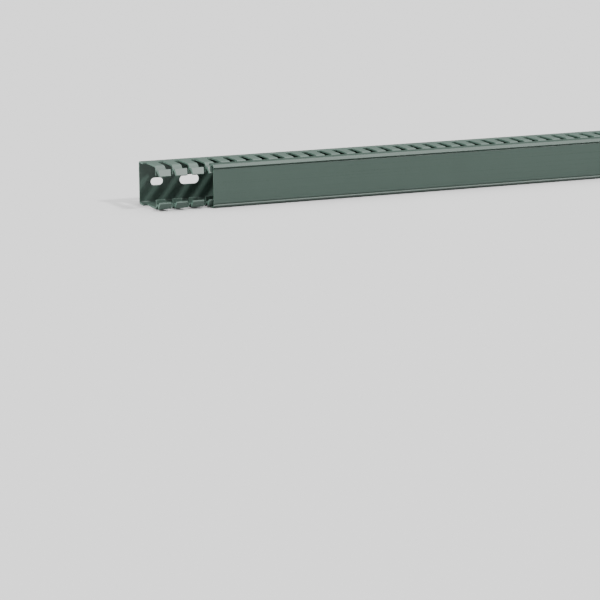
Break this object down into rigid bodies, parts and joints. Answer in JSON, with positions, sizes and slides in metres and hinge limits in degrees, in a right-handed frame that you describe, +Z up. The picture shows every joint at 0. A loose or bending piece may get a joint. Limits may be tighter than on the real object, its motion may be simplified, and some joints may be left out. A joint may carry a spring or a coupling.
{
  "type": "slotted wire duct",
  "caption": "Slotted wire duct: a punched channel with T-headed fingers and fixing slots, and a cover that snaps over them, slid back from one end.",
  "frame": {"origin": "middle of the channel's back face, the face that lies against the panel", "axes": "+X along the duct, +Y out of the back face, +Z up across the duct's width; the duct lies on one slotted side"},
  "size_m": [0.543, 0.04, 0.0316],
  "materials": {
    "channel_pvc": "satin grey-green rigid PVC",
    "cover_pvc": "satin grey-green rigid PVC"
  },
  "bodies": {
    "channel": {"slotted_channel": "channel_pvc"},
    "cover": {"snap_cover": "cover_pvc"}
  },
  "joints": [
    {"name": "cover_slide", "type": "slide", "parent": "channel", "child": "cover", "axis": [1, 0, 0], "range_m": [-0.043, 0.458]}
  ]
}
